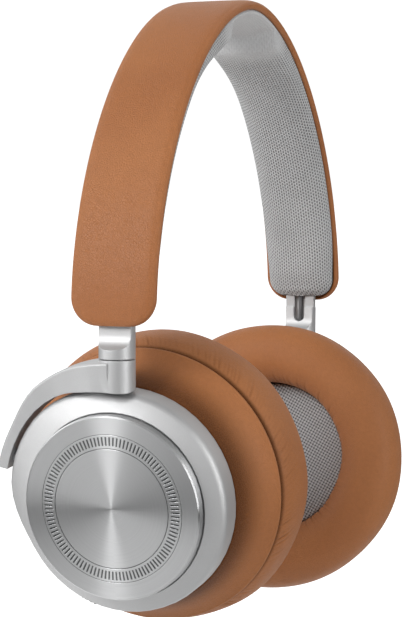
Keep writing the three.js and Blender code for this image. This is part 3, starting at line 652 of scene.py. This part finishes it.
def outward(mesh):
    """Turns every face of a closed mesh to the outside."""
    work = bmesh.new()
    work.from_mesh(mesh)
    bmesh.ops.recalc_face_normals(work, faces=work.faces)
    if work.calc_volume(signed=True) < 0:
        bmesh.ops.reverse_faces(work, faces=work.faces)
    work.to_mesh(mesh)
    work.free()


def with_mouths(piece):
    """Opens both ends of the pad for the sliders."""
    outward(piece.data)
    cutters = [mouth_cutter(side) for side in ("right", "left")]
    for cutter in cutters:
        modifier = piece.modifiers.new(cutter.name, "BOOLEAN")
        modifier.operation = "DIFFERENCE"
        modifier.solver = "EXACT"
        modifier.object = cutter
    ready = piece.evaluated_get(bpy.context.evaluated_depsgraph_get())
    mesh = bpy.data.meshes.new_from_object(ready)
    piece.modifiers.clear()
    piece.data = mesh
    for cutter in cutters:
        bpy.data.objects.remove(cutter)


# ---- Cups ----
def cup_frame(side):
    """The cup's axes and centre at rest, from the mounts on its disc and its cushion."""
    mounts = {m["name"]: m for m in RECORD["mounts"]}
    disc = mounts["disc_face_" + side]
    axis = Vector(disc["axis"]).normalized()
    centre = Vector(disc["pos_m"]) - axis * DISC_DEPTH * MM
    seal = Vector(mounts["ear_seal_" + side]["pos_m"]) - centre
    up = (seal - axis * seal.dot(axis)).normalized()
    front = up.cross(axis)
    return centre, front, up, axis


def in_cup(side, points):
    """Turns cup points [front, up, depth] in millimetres into points in metres."""
    centre, front, up, axis = (np.array(v) for v in cup_frame(side))
    p = np.array(points) * MM
    return centre + p[:, :1] * front + p[:, 1:2] * up + p[:, 2:3] * axis


def waves(angle, lowest, highest, count, seed):
    """A random but repeatable sum of waves round a circle, about -1 to 1."""
    random = np.random.default_rng(seed)
    total = np.zeros_like(angle)
    for _ in range(count):
        pitch = random.integers(lowest, highest)
        total = total + np.cos(pitch * angle + random.uniform(0, 2 * math.pi))
    return total / math.sqrt(count)


def cushion_profile():
    """The outline, the distance along it, and where the seam's groove and the opening lie on it."""
    skirt = through(SKIRT + [SEAM[0]], SKIRT_STEPS)
    seam = through(SEAM, SEAM_STEPS)
    torus = through([SEAM[-1]] + TORUS + [HIDDEN_BACK[0]], TORUS_STEPS)
    hidden = through(HIDDEN_BACK, 2)
    line = np.vstack([skirt, seam[1:], torus[1:], hidden[1:]])
    seam_at = len(skirt) - 1 + SEAM_STEPS * GROOVE_POINT
    mouth_at = len(skirt) - 1 + len(seam) - 1 + TORUS_STEPS * len(TORUS)
    along = np.concatenate([[0], np.cumsum(np.hypot(*np.diff(line, axis=0).T))])
    return line, along, along[seam_at], along[mouth_at]


def ear_cushion(side, look, seed):
    """A stuffed leather ring with a skirt, a sewn groove and creases gathered along seam and opening, with
    painted shade in the creases, the groove and on the skirt beside the shell.
    """
    line, along, seam, mouth = cushion_profile()
    count = len(line)
    tangent = np.gradient(line, axis=0)
    normal = np.stack([tangent[:, 1], -tangent[:, 0]], -1)
    normal /= np.linalg.norm(normal, axis=1)[:, None]
    if (normal[0] @ (line[0] - (30, 15))) < 0:
        normal = -normal
    angle = np.arange(CUSHION_TURNS) / CUSHION_TURNS * 2 * math.pi
    a, s = np.meshgrid(angle, along, indexing="ij")
    behind = s - seam
    after = behind > 0
    fine = waves(a + 0.012 * behind, 90, 230, 12, seed)
    broad = waves(a + 0.006 * s, 50, 150, 12, seed + 1)
    slow = waves(a, 2, 9, 5, seed + 2)
    spread = np.where(behind < 4.4, 1.6, 4.6)
    gather = np.exp(-(((behind - 4.4) / spread) ** 2)) * np.where(after, 1.0, 0.2)
    gather = gather * (0.6 + 0.4 * np.clip(waves(a, 3, 14, 5, seed + 3), -1, 1))
    lip = np.exp(-((s - mouth + 5.5) / 5.0) ** 2)
    valleys = np.clip(-fine, 0, 2)
    lip_valleys = np.clip(-broad, 0, 2)
    hidden = smooth_step(s, mouth + 1.5, mouth + 3.0)
    push = -CREASE_DEPTH * (gather * valleys + lip * lip_valleys)
    push = push + STUFFING_SWELL * slow * smooth_step(behind, 3, 12) * (1 - hidden)
    push = push * (1 - hidden) * smooth_step(s, 0.5, 3.0)
    # painted shade in the valleys of the creases
    painted_shade = np.clip(0.28 * gather * valleys + 0.22 * lip * lip_valleys, 0, 0.6) * (1 - hidden)
    # painted shadow in the seam's groove
    groove = np.exp(-(((behind - 1.1) / 2.0) ** 4))
    # painted shade on the skirt next to the shell, standing in for the shell's shadow
    painted_shade_near_shell = 0.9 * (1 - smooth_step(s, 2, 15))
    painted_shade = np.maximum(np.maximum(painted_shade, groove), painted_shade_near_shell)
    radius = line[:, 0] + push * normal[:, 0]
    depth = line[:, 1] + push * normal[:, 1]
    points = np.stack([radius * np.sin(a), radius * np.cos(a), depth], -1).reshape(-1, 3)
    faces = ring_faces(CUSHION_TURNS, count, True)
    name = "leather_cushion_" + side
    places = in_cup(side, points)
    piece = finished(name, places, faces, look, "cup_" + side, painted_shade=painted_shade.ravel())
    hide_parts("ear_cushion_" + side)
    return piece


def speaker_cloth(side, look):
    """A thin woven disc, slightly dished."""
    radii = np.linspace(0, CLOTH_RADIUS, CLOTH_RINGS + 1)[1:]
    angle = np.arange(CLOTH_TURNS) / CLOTH_TURNS * 2 * math.pi
    rings = []
    for low, order in ((0.0, 1), (CLOTH_THICK, -1)):
        for radius in radii[::order]:
            sag = CLOTH_DEPTH + low + CLOTH_DISH * (radius / CLOTH_RADIUS) ** 2
            rings.append([(radius * math.sin(t), radius * math.cos(t), sag) for t in angle])
    points = np.array(rings).reshape(-1, 3)
    points = np.vstack([points, [(0, 0, CLOTH_DEPTH), (0, 0, CLOTH_DEPTH + CLOTH_THICK)]])
    faces = ring_faces(len(rings), CLOTH_TURNS, False)
    first, last = len(points) - 2, (len(rings) - 1) * CLOTH_TURNS
    for i in range(CLOTH_TURNS):
        j = (i + 1) % CLOTH_TURNS
        faces.append((first, j, i))
        faces.append((first + 1, last + i, last + j))
    c, s = math.cos(WEAVE_TURN), math.sin(WEAVE_TURN)
    turned = [points[:, 0] * c + points[:, 1] * s, points[:, 1] * c - points[:, 0] * s]
    uv = np.stack(turned, -1) + WEAVE_START
    places = in_cup(side, points)
    piece = finished("woven_cloth_" + side, places, faces, look, "cup_" + side, uv)
    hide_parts("speaker_cloth_" + side)
    return piece


# ---- CAD nodes that stay: smooth shading and materials ----
SMOOTH_BELOW = 24 * DEGREE
JOIN_WITHIN = 0.004 * MM


def smoothing_group(limit):
    """Joins split corners and smooths every edge flatter than the limit."""
    group = bpy.data.node_groups.new("smooth_faces", "GeometryNodeTree")
    group.interface.new_socket("Geometry", in_out="INPUT", socket_type="NodeSocketGeometry")
    group.interface.new_socket("Geometry", in_out="OUTPUT", socket_type="NodeSocketGeometry")
    new = group.nodes.new
    start, end = new("NodeGroupInput"), new("NodeGroupOutput")
    join = new("GeometryNodeMergeByDistance")
    join.inputs["Distance"].default_value = JOIN_WITHIN
    smooth = new("GeometryNodeSetShadeSmooth")
    smooth.domain = "FACE"
    sharp = new("GeometryNodeSetShadeSmooth")
    sharp.domain = "EDGE"
    angle = new("GeometryNodeInputMeshEdgeAngle")
    steep = new("ShaderNodeMath")
    steep.operation = "GREATER_THAN"
    steep.inputs[1].default_value = limit
    link = group.links.new
    link(start.outputs[0], join.inputs["Geometry"])
    link(join.outputs[0], smooth.inputs["Geometry"])
    link(smooth.outputs[0], sharp.inputs["Geometry"])
    link(angle.outputs[0], steep.inputs[0])
    link(steep.outputs[0], sharp.inputs["Selection"])
    sharp.inputs["Shade Smooth"].default_value = False
    link(sharp.outputs[0], end.inputs[0])
    return group


def dress_cad(looks):
    """Gives every CAD node its material and smooth shading."""
    slots = {part["node"]: part["material_slot"] for part in RECORD["subparts"]}
    group = smoothing_group(SMOOTH_BELOW)
    for name, node in NODES.items():
        node.data.materials.clear()
        node.data.materials.append(looks.get(name) or looks[slots[name]])
        modifier = node.modifiers.new("smooth_faces", "NODES")
        modifier.node_group = group


# ---- Floor, light and camera ----
DARK_SIDE = (0.05, -1.0, 0.0)  # the studio's unlit side, in front of the wearer
DARK_SHARE = 0.5
HORIZON = -0.12  # height of the dim band's middle
SHADE_FROM = -0.3  # where the light starts to fade towards the dark side
SHADE_TO = 0.7
SKY = ((0.0, 0.10), (0.22, 0.14), (0.42, 1.25), (0.7, 0.95), (1.0, 0.3))  # height, brightness
SKY_SCALE = 2.0  # keeps the ramp's colours below one
BACKDROP = 1.05
FLOOR_SIZE = 30
FLOOR_Z = -0.26
FLOOR_GLOW = 0.75
SOFTBOXES = [  # name, place, aim, width and height, watts
    ("key", (-0.95, 0.42, 0.42), (0, 0, -0.06), (0.35, 0.45), 5),
    ("left", (-0.60, 0.92, 0.0), (0, 0, -0.08), (0.35, 1.0), 2.4),
    ("right", (-0.25, -1.12, 0.05), (0, 0, -0.08), (0.45, 0.9), 6),
]


def floor():
    """A pale floor that stays out of reflections."""
    mesh = bpy.data.meshes.new("floor")
    size, low = FLOOR_SIZE, FLOOR_Z
    corners = [(-size, -size, low), (size, -size, low), (size, size, low), (-size, size, low)]
    mesh.from_pydata(corners, [], [(0, 1, 2, 3)])
    g = Graph("pale_floor")
    g.set(Base_Color=(0.9, 0.9, 0.9, 1), Roughness=0.9)
    g.set(Emission_Color=(1, 1, 1, 1), Emission_Strength=FLOOR_GLOW)
    mesh.materials.append(g.material)
    plane = bpy.data.objects.new("floor", mesh)
    bpy.context.scene.collection.objects.link(plane)
    plane.visible_diffuse = False
    plane.visible_glossy = False


def world_light():
    """White to the camera; for light, bright above and below a dim band, and dimmer on one side."""
    world = bpy.data.worlds.new("studio")
    world.use_nodes = True
    bpy.context.scene.world = world
    tree = world.node_tree
    new, link = tree.nodes.new, tree.links.new
    background = tree.nodes["Background"]
    background.inputs["Color"].default_value = (1, 1, 1, 1)
    place = new("ShaderNodeTexCoord")
    split = new("ShaderNodeSeparateXYZ")
    link(place.outputs["Generated"], split.inputs[0])
    raised = new("ShaderNodeMath")
    raised.inputs[1].default_value = -HORIZON
    link(split.outputs[2], raised.inputs[0])
    height = new("ShaderNodeMath")
    height.operation = "ABSOLUTE"
    link(raised.outputs[0], height.inputs[0])
    ramp = new("ShaderNodeValToRGB")
    elements = ramp.color_ramp.elements
    while len(elements) < len(SKY):
        elements.new(0.5)
    for element, (position, value) in zip(elements, SKY):
        element.position = position
        element.color = (*(value / SKY_SCALE,) * 3, 1)
    link(height.outputs[0], ramp.inputs[0])
    side = new("ShaderNodeVectorMath")
    side.operation = "DOT_PRODUCT"
    link(place.outputs["Generated"], side.inputs[0])
    side.inputs[1].default_value = DARK_SIDE
    shade = new("ShaderNodeMapRange")
    shade.interpolation_type = "SMOOTHSTEP"
    shade.inputs[1].default_value = SHADE_FROM
    shade.inputs[2].default_value = SHADE_TO
    shade.inputs[3].default_value = SKY_SCALE
    shade.inputs[4].default_value = SKY_SCALE * DARK_SHARE
    link(side.outputs["Value"], shade.inputs[0])
    light = new("ShaderNodeMath")
    light.operation = "MULTIPLY"
    link(shade.outputs[0], light.inputs[1])
    link(ramp.outputs[0], light.inputs[0])
    seen = new("ShaderNodeLightPath")
    choose = new("ShaderNodeMix")
    choose.data_type = "FLOAT"
    choose.inputs[3].default_value = BACKDROP
    link(seen.outputs["Is Camera Ray"], choose.inputs[0])
    link(light.outputs[0], choose.inputs[2])
    link(choose.outputs[0], background.inputs["Strength"])


def area_light(name, at, aim, size, power):
    """A softbox that faces a point of the object."""
    data = bpy.data.lights.new(name, "AREA")
    data.shape = "RECTANGLE"
    data.size, data.size_y = size
    data.energy = power
    lamp = bpy.data.objects.new(name, data)
    lamp.location = at
    lamp.rotation_euler = (Vector(aim) - Vector(at)).to_track_quat("-Z", "Y").to_euler()
    bpy.context.scene.collection.objects.link(lamp)


def camera():
    data = bpy.data.cameras.new("camera")
    data.lens, data.sensor_width = LENS_MM, SENSOR_MM
    data.clip_start = 0.01
    back = Vector(CAMERA_BACK).normalized()
    right = Vector(CAMERA_RIGHT).normalized()
    up = back.cross(right)
    item = bpy.data.objects.new("camera", data)
    item.matrix_world = Matrix.Translation(CAMERA_AT) @ Matrix((right, up, back)).transposed().to_4x4()
    bpy.context.scene.collection.objects.link(item)
    bpy.context.scene.camera = item


def main():
    camera()
    floor()
    world_light()
    for softbox in SOFTBOXES:
        area_light(*softbox)

    looks = {
        "leather": leather("tan_leather", 0.9, 0.00017),
        "knit": knit(),
        "satin_metal": satin_metal(),
        "steel": steel(),
        "dark_plastic": plastic("dark_plastic", (0.016, 0.017, 0.018), (0.03, 0.031, 0.033), 0.45),
        "grey_plastic": plastic("grey_plastic", (0.22, 0.225, 0.235), (0.29, 0.295, 0.305), 0.42),
        "cloth": weave(),
        "board": board_green(),
        "cell_wrap": plastic("cell_wrap", (0.04, 0.06, 0.13), (0.06, 0.08, 0.17), 0.35),
        "brass": brass(),
        "cable_sheath": plastic("cable_sheath", (0.12, 0.12, 0.125), (0.17, 0.17, 0.175), 0.55),
    }
    for side in ("right", "left"):
        centre, _, up, axis = cup_frame(side)
        face = centre + axis * DISC_DEPTH * MM
        looks["trim_disc_" + side] = spun_metal("spun_metal_" + side, tuple(face), tuple(axis), tuple(up))
    dress_cad(looks)

    cover_rows = [cover_section(along) for along in stations(0, 1.6)]
    skinned("leather_cover", cover_rows, looks["leather"], "headband_cover")
    pad_rows = [pad_section(along) for along in stations(RIM_WIDTH, 1.2)]
    pad = skinned("knit_pad", pad_rows, looks["knit"], "headband_pad")
    with_mouths(pad)
    for side, seed in (("right", 5), ("left", 17)):
        ear_cushion(side, looks["leather"], seed)
        speaker_cloth(side, looks["cloth"])


main()
bpy.context.scene.view_settings.view_transform = "Standard"
